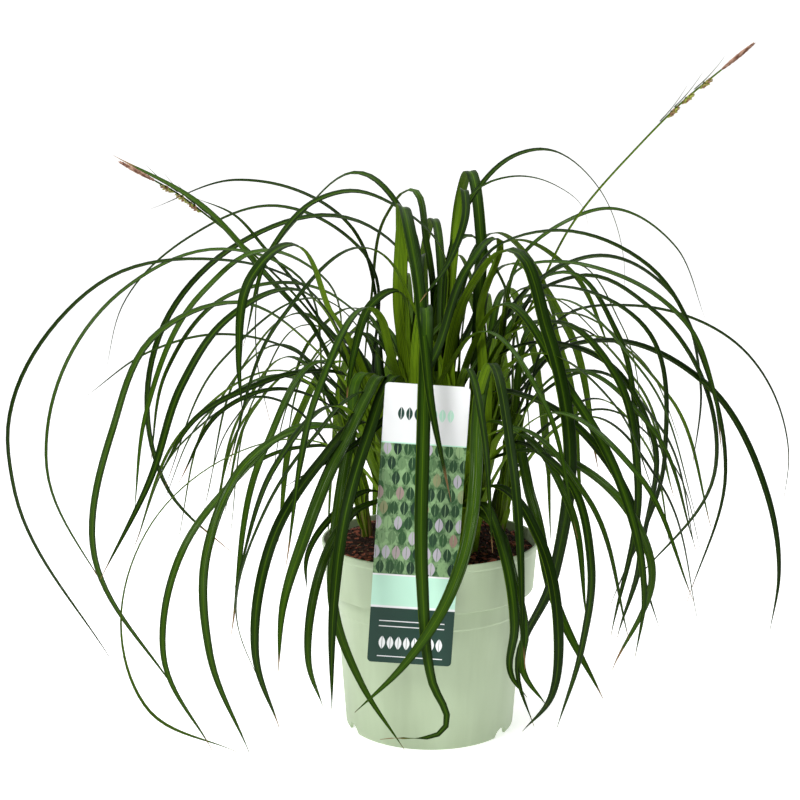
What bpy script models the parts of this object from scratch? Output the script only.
"""Carex sedge in its nursery pot: pot, soil, label, twelve leafy shoots and two flower spikes.

The origin is the middle of the pot's base on the surface it stands on, +Z up. The label hangs on the
front, at -Y. Sizes below are in millimetres and heights count from the base.
"""
import math
import random
from collections import namedtuple
from itertools import product

import bmesh
import bpy
from mathutils import Matrix, Vector
from mathutils.bvhtree import BVHTree
from mathutils.geometry import interpolate_bezier

MM = 0.001
GAP = 0.4

# Pot of the 17 cm size
POT_HEIGHT = 150
RIM_RADIUS = 85
FOOT_RADIUS = 66.5
BAND_HEIGHT = 38
RING_DROP = 16
WALL = 1.5
FLOOR_HEIGHT = 8
POT_SIDES = 32
DRAIN_HOLES = 6
DRAIN_RADIUS = 4.5
NOTCH_ANGLES = (-154.5, -34.5, 85.5)
NOTCH_RADIUS = 8

# Soil
SOIL_EDGE = 141
SOIL_MOUND = 9
SOIL_BACK_RISE = 11
CHIPS = 12

# Label
LABEL_SIZE = (62, 207)
LABEL_THICKNESS = 0.9
LABEL_BOTTOM = 78
LABEL_X = -17
LABEL_LEAN_BACK = 4.4
LABEL_LEAN_RIGHT = 3.8
TONGUE_SIZE = (16, 20)

# Shoots and blades
HOLE_DEPTH = 18
SHEATH_RADIUS = 4.5
SHEATH_SIDES = 6
ROOT_SUNK = 14
BLADE_RINGS = 12
FLOOR_CLEARANCE = 6
# The turns in degrees and lifts in millimetres that a blade may take to stay clear, smallest first
MOVES = sorted(product((0, 2, -2, 4, -4, 6, -6, 9, -9, 12, -12, 16, -16), (0, 5, -5, 10, -10, 16, 24)),
               key=lambda move: abs(move[0]) + 0.35 * abs(move[1]))

# Each shoot: its place in the soil, the heading it leans to, its lean in degrees, the height of its
# sheath above the soil, the number of blades that the seeded rule adds to those read from the
# photograph, the span of headings that they take, and the height of the tallest of them.
Shoot = namedtuple("Shoot", "place heading lean sheath added span tallest")
SHOOTS = {
    "back": Shoot((4, 46), 90, 9, 120, 9, 110, 385),
    "back_left": Shoot((-26, 38), 125, 11, 110, 8, 110, 370),
    "back_right": Shoot((36, 36), 50, 11, 110, 9, 110, 365),
    "far_left": Shoot((-50, 12), 170, 16, 100, 4, 110, 320),
    "far_right": Shoot((54, 10), 10, 12, 100, 4, 120, 330),
    "left": Shoot((-30, -6), 180, 15, 150, 3, 130, 350),
    "right": Shoot((32, -4), 0, 9, 160, 4, 130, 390),
    "front_left": Shoot((-24, -34), 235, 9, 95, 1, 40, 290),
    "front": Shoot((-2, -40), 270, 7, 90, 2, 220, 330),
    "front_right": Shoot((28, -36), 315, 8, 90, 3, 80, 300),
    "centre_left": Shoot((-12, 4), 100, 3, 150, 8, 330, 380),
    "centre_right": Shoot((14, 6), 60, 3, 130, 7, 330, 385),
}

# Blades read from the photograph: shoot, heading, width, the degrees by which its upper side has turned to
# the front at the tip, then the points it passes as reach and height, with a shift where it bends aside.
SEEN_BLADES = (
    ("right", 224, 8, 25, ((-18, 330), (-26, 383), (3, 365), (46, 292), (103, 251), (188, 222))),
    ("left", 168, 8, 35, ((50, 300), (100, 355), (150, 407), (222, 446))),
    ("left", 186, 6, 60, ((70, 350), (145, 370), (205, 360), (250, 325), (290, 245), (288, 200), (215, 50))),
    ("left", 200, 8, 50, ((55, 300), (120, 340), (180, 320), (215, 250), (232, 170), (170, 40))),
    ("left", 225, 9, 30, ((65, 335), (100, 385), (137, 365), (150, 310), (148, 270))),
    ("left", 208, 7, 60, ((85, 350), (135, 330), (170, 285), (195, 220), (235, 150))),
    ("left", 176, 4, 40, ((70, 295), (135, 310), (190, 295), (240, 260))),
    ("left", 196, 7, 50, ((35, 280), (68, 285), (110, 275), (150, 255), (180, 213))),
    ("left", 203, 5, 50, ((45, 255), (95, 275), (135, 262), (170, 210))),
    ("far_left", 178, 6, 55, ((50, 345), (115, 365), (185, 335), (240, 258), (250, 200), (200, 80))),
    ("far_left", 193, 7, 50, ((35, 355), (80, 375), (125, 345), (170, 255), (182, 175))),
    ("far_left", 170, 5, 60, ((20, 215), (55, 217), (95, 200), (125, 165))),
    ("back", 186, 8, 60, ((8, 352), (75, 398), (153, 378), (213, 315), (228, 250), (213, 182), (160, 125))),
    ("centre_left", 188, 6, 50, ((45, 330), (90, 350), (145, 340), (190, 285), (205, 210))),
    ("centre_left", 152, 7, 50, ((9, 400), (46, 432), (104, 396), (138, 353), (146, 290), (130, 215))),
    ("centre_left", 270, 11, 50, ((-2, 336, -8), (6, 398, -10), (20, 408, -10), (64, 371, -1), (98, 310, 6),
                                  (105, 281, 9), (106, 226, 20), (105, 203, 25))),
    ("centre_left", 222, 8, 40, ((8, 300), (20, 345), (42, 338), (62, 300), (70, 262))),
    ("back_left", 163, 5, 50, ((20, 360), (100, 405), (175, 380), (240, 320), (258, 262))),
    ("back_left", 158, 4, 50, ((45, 395), (140, 425), (222, 400))),
    ("back", 150, 9, 20, ((8, 375), (24, 418), (42, 400), (58, 330), (70, 230))),
    ("front_left", 212, 5, -60, ((35, 225), (95, 245), (150, 235), (200, 200), (226, 140), (210, 65), (140, 16))),
    ("front_left", 222, 7, 60, ((85, 255), (140, 240), (178, 180), (178, 110), (145, 25))),
    ("front_left", 216, 6, 55, ((90, 255), (140, 225), (185, 180), (203, 110), (165, 25))),
    ("front_left", 230, 7, -45, ((35, 270), (95, 245), (145, 200), (173, 140), (150, 75))),
    ("front_left", 236, 8, 40, ((45, 250), (100, 230), (155, 185), (175, 115), (150, 50))),
    ("front_left", 240, 10, 20, ((14, 271), (82, 233), (130, 180), (158, 137), (165, 93))),
    ("front_left", 247, 9, 25, ((8, 272), (61, 235), (98, 188), (119, 121), (122, 54))),
    ("front_left", 262, 8, 20, ((20, 288, -22), (45, 243, -30), (67, 173, -38), (76, 130, -38), (75, 69, -18),
                                (73, 18, 14))),
    ("front_left", 240, 7, 50, ((40, 195), (85, 185), (122, 140), (128, 100), (110, 60))),
    ("front_left", 225, 6, 40, ((30, 200), (65, 190), (95, 160), (95, 138))),
    ("front", 270, 10, 10, ((12, 325, -3), (30, 349, -4), (57, 262, -9), (76, 158, -11), (82, 85, -4),
                            (85, 54, 6), (85, 44, -42))),
    ("centre_right", 35, 5, 50, ((15, 405), (62, 445), (92, 450), (150, 420), (182, 355), (182, 315))),
    ("right", 18, 5, 50, ((40, 370), (75, 395), (110, 405), (170, 375), (200, 315))),
    ("centre_right", 354, 6, 60, ((40, 385), (80, 395), (150, 370), (195, 295), (214, 210), (188, 105))),
    ("right", 6, 8, 45, ((45, 345), (100, 370), (155, 340), (180, 270), (176, 200))),
    ("far_right", 356, 8, 50, ((35, 350), (65, 360), (115, 335), (160, 270), (168, 210), (105, 113))),
    ("far_right", 8, 5, 50, ((55, 325), (100, 330), (200, 290), (238, 210), (235, 160))),
    ("far_right", 351, 9, 60, ((55, 300), (85, 305), (155, 275), (205, 195), (220, 120), (215, 75))),
    ("right", 346, 7, 50, ((45, 350), (70, 360), (110, 315), (126, 250), (130, 175))),
    ("right", 340, 6, 45, ((35, 345), (70, 350), (130, 325), (150, 230), (112, 107))),
    ("right", 327, 8, 40, ((40, 315), (75, 325), (120, 290), (140, 215), (122, 92))),
    ("centre_right", 315, 12, 30, ((30, 350), (60, 378), (98, 320), (120, 245), (108, 140), (75, 50), (92, 16))),
    ("centre_right", 332, 9, 35, ((20, 305), (45, 335), (110, 280), (155, 220), (180, 130), (174, 88))),
    ("right", 336, 10, 40, ((12, 265), (45, 265), (105, 225), (135, 165), (120, 85))),
    ("front_right", 338, 9, 45, ((12, 210), (45, 230), (100, 215), (143, 155), (116, 70))),
    ("right", 345, 8, 45, ((5, 275), (30, 300), (100, 295), (138, 240), (135, 130), (148, 90))),
    ("front_right", 325, 7, 35, ((12, 248), (50, 245), (90, 200), (108, 115))),
    ("front_right", 310, 9, 30, ((35, 205), (75, 175), (97, 110), (92, 60), (62, 22))),
    ("right", 318, 11, 20, ((12, 222), (30, 240), (58, 190), (82, 115), (128, 50))),
    ("front_right", 322, 8, 30, ((30, 235), (88, 220), (111, 160), (105, 95), (85, 28))),
    ("front_right", 296, 8, 20, ((25, 190), (52, 165), (72, 110), (68, 72), (92, 62))),
    ("front_right", 303, 8, 20, ((32, 180), (58, 140), (72, 105), (70, 76), (100, 56))),
    ("front_right", 265, 10, 10, ((24, 290, 6), (48, 252, -2), (62, 218, -5), (75, 164, -16), (81, 130, -31),
                                  (86, 90, -60), (85, 56, -95))),
    ("back_right", 95, 9, 10, ((10, 345, -8), (45, 432, 0), (75, 415, 2), (120, 330, 5), (140, 240, 5))),
    ("centre_right", 245, 7, 20, ((0, 350, 2), (4, 420, 14), (20, 405, 22), (45, 375, 22), (92, 345, 17))),
    ("back", 20, 10, 20, ((8, 360), (28, 392), (52, 365), (75, 290), (88, 200))),
    ("centre_right", 190, 7, 45, ((15, 383), (38, 401), (76, 415), (103, 408), (135, 375), (159, 300))),
    ("right", 352, 7, 45, ((38, 363), (69, 367), (96, 362), (139, 342), (164, 318), (181, 278), (191, 222))),
    ("centre_right", 25, 3, 40, ((35, 426), (61, 430), (94, 422), (119, 404), (126, 377))),
    ("left", 165, 4, 40, ((63, 328), (81, 353), (101, 374), (126, 400), (158, 413))),
)

# Flower stalks, which grow out of two of the shoots: shoot, heading, and the points they pass.
FLOWER_STALKS = {
    "left": ("left", 165, ((60, 320), (105, 365), (151, 401), (178, 419), (192, 426))),
    "right": ("right", 12, ((45, 330), (76, 391), (131, 454), (169, 490), (196, 511))),
}
STALK_RADIUS = 1.1
STALK_SIDES = 5
FEMALE_SPIKE = (12, 2.3)
FEMALE_SPIKE_PLACES = (0.82, 0.87, 0.93)
MALE_SPIKE = (32, 1.9)

# Colours from the photograph, as linear red, green, blue, with roughness
COLOURS = {
    "pot": ((0.52, 0.62, 0.43), 0.45),
    "soil": ((0.055, 0.018, 0.012), 0.95),
    "label": ((0.72, 0.80, 0.76), 0.35),
    "shoot": ((0.045, 0.135, 0.016), 0.42),
    "male_spike": ((0.32, 0.15, 0.07), 0.8),
}


def material(kind):
    colour, roughness = COLOURS[kind]
    made = bpy.data.materials.get(kind) or bpy.data.materials.new(kind)
    made.use_nodes = True
    shader = made.node_tree.nodes["Principled BSDF"]
    shader.inputs["Base Color"].default_value = (*colour, 1)
    shader.inputs["Roughness"].default_value = roughness
    shader.inputs["Metallic"].default_value = 0
    made.diffuse_color = (*colour, 1)
    return made


def mesh_object(name, vertices, faces, kind=None):
    """A new object from vertices in millimetres."""
    mesh = bpy.data.meshes.new(name)
    mesh.from_pydata([tuple(MM * value for value in vertex) for vertex in vertices], [], faces)
    made = bpy.data.objects.new(name, mesh)
    bpy.context.scene.collection.objects.link(made)
    if kind:
        mesh.materials.append(material(kind))
    return made


def revolved(profile, sides):
    """Vertices and faces of a closed profile of (radius, height) points turned round the Z axis.

    A point at radius 0 becomes one vertex. The profile runs up the outside and down the inside.
    """
    vertices = []
    rings = []
    for radius, height in profile:
        if radius == 0:
            rings.append([len(vertices)] * sides)
            vertices.append((0, 0, height))
            continue
        rings.append(list(range(len(vertices), len(vertices) + sides)))
        for step in range(sides):
            angle = 2 * math.pi * step / sides
            vertices.append((radius * math.cos(angle), radius * math.sin(angle), height))
    faces = []
    for lower, upper in zip(rings, rings[1:]):
        for step in range(sides):
            following = (step + 1) % sides
            corners = (lower[step], lower[following], upper[following], upper[step])
            face = list(dict.fromkeys(corners))
            if len(face) > 2:
                faces.append(face)
    return vertices, faces


def tube(centres, radii, sides):
    """A capped tube with a round or oval section at each centre; radii are (wide, narrow) pairs."""
    vertices = []
    for index, (centre, (wide, narrow)) in enumerate(zip(centres, radii)):
        ahead = centres[min(index + 1, len(centres) - 1)] - centres[max(index - 1, 0)]
        across = Vector((1, 0, 0)) - ahead * (ahead.x / ahead.length_squared)
        if across.length < 0.3:
            across = Vector((0, 1, 0)) - ahead * (ahead.y / ahead.length_squared)
        across.normalize()
        inward = ahead.cross(across).normalized()
        for step in range(sides):
            angle = 2 * math.pi * step / sides
            vertices.append(centre + across * (wide * math.cos(angle)) + inward * (narrow * math.sin(angle)))
    faces = [tuple(reversed(range(sides)))]
    for ring in range(len(centres) - 1):
        for step in range(sides):
            following = (step + 1) % sides
            low = ring * sides
            high = low + sides
            faces.append((low + step, low + following, high + following))
            faces.append((low + step, high + following, high + step))
    last = (len(centres) - 1) * sides
    faces.append(tuple(range(last, last + sides)))
    return vertices, faces


def fused(base, others, operation="UNION", solver="MANIFOLD"):
    """Joins objects to the base, or cuts them from it, with one applied Boolean on a collection."""
    group = bpy.data.collections.new(base.name + "_parts")
    for other in others:
        group.objects.link(other)
    modifier = base.modifiers.new("fused", "BOOLEAN")
    modifier.operation = operation
    modifier.solver = solver
    modifier.operand_type = "COLLECTION"
    modifier.collection = group
    evaluated = base.evaluated_get(bpy.context.evaluated_depsgraph_get())
    joined = bpy.data.meshes.new_from_object(evaluated)
    base.modifiers.clear()
    base.data = joined
    for other in others:
        bpy.data.objects.remove(other, do_unlink=True)
    bpy.data.collections.remove(group)
    return base


def keep_main_body(made):
    """Drops loose scraps and fills hollows that the union sealed."""
    shape = bmesh.new()
    shape.from_mesh(made.data)
    unseen = set(shape.verts)
    bodies = []
    while unseen:
        waiting = [unseen.pop()]
        body = list(waiting)
        while waiting:
            for edge in waiting.pop().link_edges:
                for vertex in edge.verts:
                    if vertex in unseen:
                        unseen.discard(vertex)
                        waiting.append(vertex)
                        body.append(vertex)
        bodies.append(body)
    bodies.sort(key=len)
    for body in bodies[:-1]:
        bmesh.ops.delete(shape, geom=body, context="VERTS")
    shape.to_mesh(made.data)
    shape.free()


def smooth(made):
    made.data.shade_smooth()
    made.data.set_sharp_from_angle(angle=math.radians(35))


# Pot

def pot_profile():
    band_bottom = POT_HEIGHT - BAND_HEIGHT
    ring = band_bottom - RING_DROP
    outer = [(FOOT_RADIUS - 1, 0), (FOOT_RADIUS, 1.5), (73.4, ring), (74.2, ring + 0.8),
             (74.8, band_bottom - 1), (81.4, band_bottom), (83.8, POT_HEIGHT - 6), (84.8, POT_HEIGHT - 5),
             (RIM_RADIUS, POT_HEIGHT)]
    inner = [(RIM_RADIUS - 1.8, POT_HEIGHT), (79.9, band_bottom + 1.4), (73.3, band_bottom - 1),
             (FOOT_RADIUS - 1.2, FLOOR_HEIGHT + WALL), (0, FLOOR_HEIGHT + WALL)]
    return outer, inner


def make_pot():
    """A moulded shell with a thick rim band, a raised floor, a foot ring and a foot in the middle."""
    outer, inner = pot_profile()
    below = [(0, 0), (12, 0), (12, FLOOR_HEIGHT), (FOOT_RADIUS - 2.6, FLOOR_HEIGHT), (FOOT_RADIUS - 2.8, 0)]
    vertices, faces = revolved(below + outer + inner, POT_SIDES)
    pot = mesh_object("pot", vertices, faces, "pot")
    cutters = []
    for number in range(DRAIN_HOLES):
        angle = 2 * math.pi * (number + 0.5) / DRAIN_HOLES
        place = Vector((40 * math.cos(angle), 40 * math.sin(angle), 0))
        ends = (place + Vector((0, 0, FLOOR_HEIGHT - 3)), place + Vector((0, 0, FLOOR_HEIGHT + 5)))
        cutters.append(mesh_object("drain", *tube(ends, [(DRAIN_RADIUS, DRAIN_RADIUS)] * 2, 12)))
    for heading in NOTCH_ANGLES:
        out = Vector((math.cos(math.radians(heading)), math.sin(math.radians(heading)), 0))
        ends = (out * (FOOT_RADIUS - 8) - Vector((0, 0, 1)), out * (FOOT_RADIUS + 8) - Vector((0, 0, 1)))
        size = (NOTCH_RADIUS, NOTCH_RADIUS)
        cutters.append(mesh_object("notch", *tube(ends, [size] * 2, 12)))
    fused(pot, cutters, "DIFFERENCE", "EXACT")
    smooth(pot)
    return pot


# Soil

def soil_height(x, y):
    """Height of the soil: a low mound that climbs towards the back, level with the rim at the wall."""
    spread = min(1, math.hypot(x, y) / 82)
    mound = SOIL_MOUND * (1 - spread ** 2)
    back = SOIL_BACK_RISE * max(0, y / 82) * (1 - spread ** 8)
    return SOIL_EDGE + mound + back


def make_soil():
    """The filled body of soil, 0.4 mm inside the pot's wall, with bark chips raised from its top."""
    _, inner = pot_profile()
    draw = random.Random(3)
    wall = [(radius - GAP, height) for radius, height in reversed(inner[1:-1])]
    wall[0] = (wall[0][0], FLOOR_HEIGHT + WALL + GAP)
    wall[-1] = (81.4, SOIL_EDGE)
    rings = [(radius, 0) for radius in (66, 44, 22)]
    vertices, faces = revolved([(0, wall[0][1])] + wall + rings + [(0, 1)], POT_SIDES)
    first_top = 1 + len(wall) * POT_SIDES
    for index in range(first_top, len(vertices)):
        x, y, _ = vertices[index]
        vertices[index] = (x, y, soil_height(x, y) + draw.uniform(-1.6, 1.6))
    soil = mesh_object("soil", vertices, faces, "soil")
    chips = []
    while len(chips) < CHIPS:
        angle = draw.uniform(0, 2 * math.pi)
        reach = 76 * math.sqrt(draw.uniform(0.12, 1))
        place = Vector((reach * math.cos(angle), reach * math.sin(angle), 0))
        if any((place.xy - Vector(shoot.place)).length < 17 for shoot in SHOOTS.values()):
            continue
        place.z = soil_height(place.x, place.y) + 0.6
        half = Vector((math.cos(draw.uniform(0, 6.3)), math.sin(draw.uniform(0, 6.3)), 0.25)).normalized()
        half *= draw.uniform(3.5, 6)
        thick = draw.uniform(1.8, 2.8)
        chip = tube((place - half, place, place + half), ((thick * 0.8, thick * 0.5), (thick, thick * 0.8),
                                                         (thick * 0.6, thick * 0.5)), 5)
        if place.xy.length + half.length + thick < 80:
            chips.append(mesh_object("chip", *chip))
    fused(soil, chips)
    holes = []
    for name in SHOOTS:
        centres, radii = sheath(name)
        wider = (radii[0][0] + GAP, radii[0][1] + GAP)
        below = centres[0] - Vector((0, 0, GAP))
        above = centres[1] + Vector((0, 0, 25))
        holes.append(mesh_object("hole", *tube((below, above), (wider, wider), SHEATH_SIDES)))
    fused(soil, holes, "DIFFERENCE", "EXACT")
    keep_main_body(soil)
    return soil


# Label

def label_place():
    """Puts the label's own frame, its bottom edge at the origin, on the rim of the pot."""
    lean = Matrix.Rotation(math.radians(-LABEL_LEAN_BACK), 4, "X")
    slant = Matrix.Rotation(math.radians(LABEL_LEAN_RIGHT), 4, "Y")
    rim_above_bottom = POT_HEIGHT - LABEL_BOTTOM
    bottom_y = -RIM_RADIUS - GAP - math.tan(math.radians(LABEL_LEAN_BACK)) * rim_above_bottom
    return Matrix.Translation((LABEL_X, bottom_y, LABEL_BOTTOM)) @ lean @ slant


def make_label():
    """A thin plastic tag outside the rim, leaning back, with a tongue that hooks over into the pot."""
    width, height = LABEL_SIZE
    corner = 3
    outline = []
    for x, z, start in ((1, 0, 270), (1, 1, 0), (0, 1, 90), (0, 0, 180)):
        middle = Vector(((x - 0.5) * (width - 2 * corner), 0, corner + z * (height - 2 * corner)))
        for turn in (0, 45, 90):
            angle = math.radians(start + turn)
            outline.append(middle + Vector((corner * math.cos(angle), 0, corner * math.sin(angle))))
    vertices = [point - Vector((0, LABEL_THICKNESS, 0)) for point in outline] + outline
    count = len(outline)
    faces = [tuple(range(count)), tuple(reversed(range(count, 2 * count)))]
    for step in range(count):
        following = (step + 1) % count
        faces.append((following, step, count + step, count + following))
    label = mesh_object("label", [label_place() @ vertex for vertex in vertices], faces, "label")
    half = TONGUE_SIZE[0] / 2
    top = POT_HEIGHT + 5
    fold = -RIM_RADIUS + 5.6
    hook = ((-RIM_RADIUS - 0.9, top), (-RIM_RADIUS - 0.9, top - 2), (fold - 1.2, top - 2),
            (fold - 1.2, top - TONGUE_SIZE[1] + 10), (fold, top - TONGUE_SIZE[1] + 10), (fold, top))
    vertices = [(x, y, z) for x in (-half, half) for y, z in hook]
    sides = len(hook)
    faces = [tuple(range(sides)), tuple(reversed(range(sides, 2 * sides)))]
    for step in range(sides):
        following = (step + 1) % sides
        faces.append((following, step, sides + step, sides + following))
    tongue = mesh_object("tongue", vertices, faces)
    return fused(label, [tongue], "UNION", "EXACT")


# Shoots

def direction(heading):
    """The level unit vector of a heading in degrees."""
    turn = math.radians(heading)
    return Vector((math.cos(turn), math.sin(turn), 0))


def sheath(name):
    """Centres and half widths of a shoot's sheath: straight in the soil, then leaning, wider above."""
    shoot = SHOOTS[name]
    (x, y) = shoot.place
    out = direction(shoot.heading)
    ground = soil_height(x, y)
    centres = [Vector((x, y, ground - HOLE_DEPTH)), Vector((x, y, ground + 5))]
    steps = 4
    for step in range(1, steps + 1):
        tilt = math.radians(shoot.lean * (0.5 + 0.5 * step / steps))
        rise = (shoot.sheath - 5) / steps
        centres.append(centres[-1] + out * (rise * math.sin(tilt)) + Vector((0, 0, rise * math.cos(tilt))))
    radii = [(SHEATH_RADIUS, SHEATH_RADIUS * 0.85)] * 2
    for step in range(1, steps + 1):
        widen = 1 + 0.45 * step / steps
        radii.append((SHEATH_RADIUS * widen, SHEATH_RADIUS * 0.85 / widen ** 0.5))
    radii[-1] = (radii[-1][0] * 0.7, radii[-1][1] * 0.6)
    return centres, radii


def along(centres, part):
    """The point a part of the way, 0 to 1, up the sheath above the soil."""
    place = 1 + part * (len(centres) - 2)
    index = min(int(place), len(centres) - 2)
    return centres[index].lerp(centres[index + 1], place - index)


def smooth_path(points, count):
    """Evenly spaced points on a smooth curve through the given ones."""
    tangents = []
    for index, point in enumerate(points):
        before = point - points[max(index - 1, 0)]
        after = points[min(index + 1, len(points) - 1)] - point
        tangent = before.normalized() * max(after.length, 1) + after.normalized() * max(before.length, 1)
        tangents.append(tangent.normalized())
    fine = []
    for index in range(len(points) - 1):
        start = points[index]
        end = points[index + 1]
        pull = (end - start).length / 3
        handle_out = start + tangents[index] * pull
        handle_in = end - tangents[index + 1] * pull
        fine.extend(interpolate_bezier(start, handle_out, handle_in, end, 16)[:-1])
    fine.append(points[-1])
    lengths = [0]
    for first, second in zip(fine, fine[1:]):
        lengths.append(lengths[-1] + (second - first).length)
    even = []
    index = 0
    for step in range(count):
        wanted = lengths[-1] * step / (count - 1)
        while index < len(lengths) - 2 and lengths[index + 1] < wanted:
            index += 1
        share = (wanted - lengths[index]) / (lengths[index + 1] - lengths[index])
        even.append(fine[index].lerp(fine[index + 1], share))
    return even


def blade_width(width, part):
    """Width of a blade a part of the way along it: full below, then tapering to a fine tip."""
    taper = max(0, part - 0.4) / 0.6
    swell = 0.55 + 0.45 * min(1, part / 0.2)
    return max(1.0, width * swell * (1 - taper ** 1.7))


def blade_path(name, heading, points, count):
    """The line of a blade from inside the sheath through its points, turned to a heading."""
    centres, _ = sheath(name)
    out = direction(heading)
    across = Vector((-out.y, out.x, 0))
    base = Vector((*SHOOTS[name].place, 0))
    first_height = points[0][1] - 45 - soil_height(base.x, base.y)
    part = min(0.9, max(0.35, first_height / SHOOTS[name].sheath))
    leaves = along(centres, part)
    rising = (leaves - along(centres, part - 0.3)).normalized()
    route = [leaves - rising * ROOT_SUNK, leaves + out * 2]
    for reach, height, *side in points:
        shift = side[0] if side else 0
        route.append(base + out * reach + across * shift + Vector((0, 0, height)))
    return smooth_path(route, count), across


def blade_solid(path, across, width, twist, extra=0):
    """A blade as a closed strip of three faces: a flat upper one and two that meet in the keel."""
    vertices = []
    last = len(path) - 1
    for index, point in enumerate(path):
        ahead = (path[min(index + 1, last)] - path[max(index - 1, 0)]).normalized()
        level = (across - ahead * across.dot(ahead)).normalized()
        roll = math.copysign(1, across.y) * math.radians(twist) * index / last
        side = Matrix.Rotation(roll, 3, ahead) @ level
        under = side.cross(ahead)
        wide = blade_width(width, index / last)
        depth = 0.6 + 0.13 * wide
        vertices.append(point + side * (wide / 2 + extra) - under * extra)
        vertices.append(point - side * (wide / 2 + extra) - under * extra)
        vertices.append(point + under * (depth + extra))
    faces = [(2, 1, 0)]
    for ring in range(last):
        low = 3 * ring
        for step in range(3):
            following = (step + 1) % 3
            faces.append((low + step, low + following, low + 3 + following))
            faces.append((low + step, low + 3 + following, low + 3 + step))
    end = 3 * last
    faces.append((end, end + 1, end + 2))
    return vertices, faces


def added_blades(name, draw):
    """Blades that the photograph hides or shows only in part, by one rule with seeded draws."""
    shoot = SHOOTS[name]
    for number in range(shoot.added):
        towards = shoot.heading + shoot.span * ((number + 0.5) / shoot.added - 0.5) + draw.uniform(-8, 8)
        grown = draw.uniform(0.3, 1)
        crest_height = 215 + (shoot.tallest - 215) * grown
        crest_reach = draw.uniform(45, 85) + 25 * (1 - grown)
        tip_reach = crest_reach + draw.uniform(70, 130)
        sideways = abs(math.cos(math.radians(towards)))
        tip_height = max(25 + 100 * sideways, crest_height - draw.uniform(90, 230))
        fall = crest_height - tip_height
        points = ((0.42 * crest_reach, crest_height - 45 * grown - 12), (crest_reach, crest_height),
                  (crest_reach + 0.62 * (tip_reach - crest_reach), crest_height - 0.30 * fall),
                  (tip_reach, tip_height))
        yield name, towards % 360, draw.uniform(5, 8.5), draw.uniform(-35, 35), points


def block(low, high):
    """Vertices and faces of a box between two corners."""
    vertices = [Vector(corner) for corner in product(*zip(low, high))]
    return vertices, [(0, 1, 3, 2), (4, 6, 7, 5), (0, 4, 5, 1), (2, 3, 7, 6), (0, 2, 6, 4), (1, 5, 7, 3)]


def holders():
    """Plain solids for what the blades keep clear of: the filled pot, the label and its tongue."""
    width, height = LABEL_SIZE
    pot = [(0, 0), (FOOT_RADIUS, 0), (74.8, POT_HEIGHT - BAND_HEIGHT - 1), (81.4, POT_HEIGHT - BAND_HEIGHT),
           (RIM_RADIUS, POT_HEIGHT), (RIM_RADIUS - 1.8, POT_HEIGHT), (81.4, SOIL_EDGE), (60, 156), (0, 156)]
    tag, sides = block((-width / 2, -LABEL_THICKNESS, 0), (width / 2, 0, height))
    tongue = block((-TONGUE_SIZE[0] / 2, -RIM_RADIUS - 1, POT_HEIGHT - 8),
                   (TONGUE_SIZE[0] / 2, 6 - RIM_RADIUS, POT_HEIGHT + 5))
    return [revolved(pot, POT_SIDES), ([label_place() @ corner for corner in tag], sides), tongue]


def tree_of(solids):
    """One search tree over many solids, each a pair of vertices and faces."""
    vertices = []
    faces = []
    for points, corners in solids:
        start = len(vertices)
        vertices.extend(points)
        faces.extend(tuple(start + corner for corner in face) for face in corners)
    return BVHTree.FromPolygons(vertices, faces)


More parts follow.
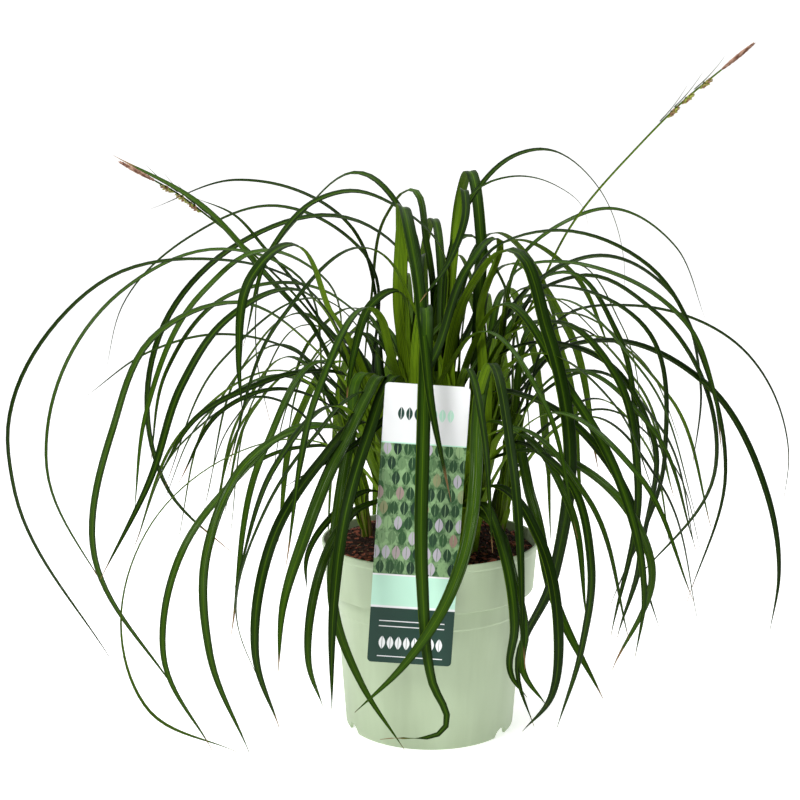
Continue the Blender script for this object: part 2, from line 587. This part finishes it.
def settled_blades():
    """Every blade, turned and lifted a little at a time until it is clear; one that never is stays out."""
    draw = random.Random(5)
    wanted = list(SEEN_BLADES)
    for name in SHOOTS:
        wanted.extend(added_blades(name, draw))
    sheaths = {name: tube(*sheath(name), SHEATH_SIDES) for name in SHOOTS}
    placed = {name: [] for name in SHOOTS}
    kept = {name: [] for name in SHOOTS}
    stalks = {shoot: stalk_solids(flower) for flower, (shoot, _, _) in FLOWER_STALKS.items()}
    for name, heading, width, twist, points in wanted:
        others = holders()
        for other in SHOOTS:
            if other != name:
                others.append(sheaths[other])
                others.extend(placed[other])
                others.extend(stalks.get(other, ()))
        tree = tree_of(others)
        for turned, lifted in MOVES:
            moved = [(point[0], point[1] + lifted, *point[2:]) for point in points]
            path, across = blade_path(name, heading + turned, moved, BLADE_RINGS)
            lowest = min(point.z for point in path)
            swollen = blade_solid(path, across, width, twist, 0.9)
            if lowest > FLOOR_CLEARANCE and not tree.overlap(tree_of([swollen])):
                placed[name].append(swollen)
                kept[name].append(blade_solid(path, across, width, twist))
                break
    return kept


def stalk_path(flower):
    name, heading, points = FLOWER_STALKS[flower]
    path, _ = blade_path(name, heading, points, 15)
    return path


def spike(path, start, length, radius, rings=5):
    """A spindle round the stalk from a start, 0 to 1, with a length in millimetres."""
    total = sum((second - first).length for first, second in zip(path, path[1:]))
    centres = []
    radii = []
    for ring in range(rings):
        share = ring / (rings - 1)
        place = (start + share * length / total) * (len(path) - 1)
        index = min(int(place), len(path) - 2)
        centres.append(path[index] + (path[index + 1] - path[index]) * (place - index))
        size = radius * (0.45 + 0.55 * math.sin(math.pi * min(1, share * 0.8 + 0.15)))
        radii.append((size, size))
    return tube(centres, radii, STALK_SIDES + 1)


def stalk_solids(flower):
    """The green stalk with its female spikes."""
    path = stalk_path(flower)
    thinning = [STALK_RADIUS * (1 - 0.35 * index / (len(path) - 1)) for index in range(len(path))]
    solids = [tube(path, [(radius, radius) for radius in thinning], STALK_SIDES)]
    for place in FEMALE_SPIKE_PLACES:
        solids.append(spike(path, place, *FEMALE_SPIKE))
    return solids


def make_male_spike(flower):
    """The brown spike at the stalk's end, drawn on along the stalk's own line."""
    path = stalk_path(flower)
    ahead = (path[-1] - path[-2]).normalized()
    start = path[-1] + ahead * GAP
    line = [start, start + ahead * MALE_SPIKE[0]]
    made = mesh_object("male_spike_" + flower, *spike(line, 0, *MALE_SPIKE), "male_spike")
    smooth(made)


def make_shoots():
    blades = settled_blades()
    for name in SHOOTS:
        made = mesh_object("shoot_" + name, *tube(*sheath(name), SHEATH_SIDES), "shoot")
        parts = [mesh_object("blade", *solid) for solid in blades[name]]
        for flower, (shoot, _, _) in FLOWER_STALKS.items():
            if shoot == name:
                parts.extend(mesh_object("stalk", *solid) for solid in stalk_solids(flower))
        fused(made, parts)
        keep_main_body(made)
        smooth(made)


for old in list(bpy.data.objects):
    bpy.data.objects.remove(old, do_unlink=True)
make_pot()
make_soil()
make_label()
make_shoots()
for flower_name in FLOWER_STALKS:
    make_male_spike(flower_name)
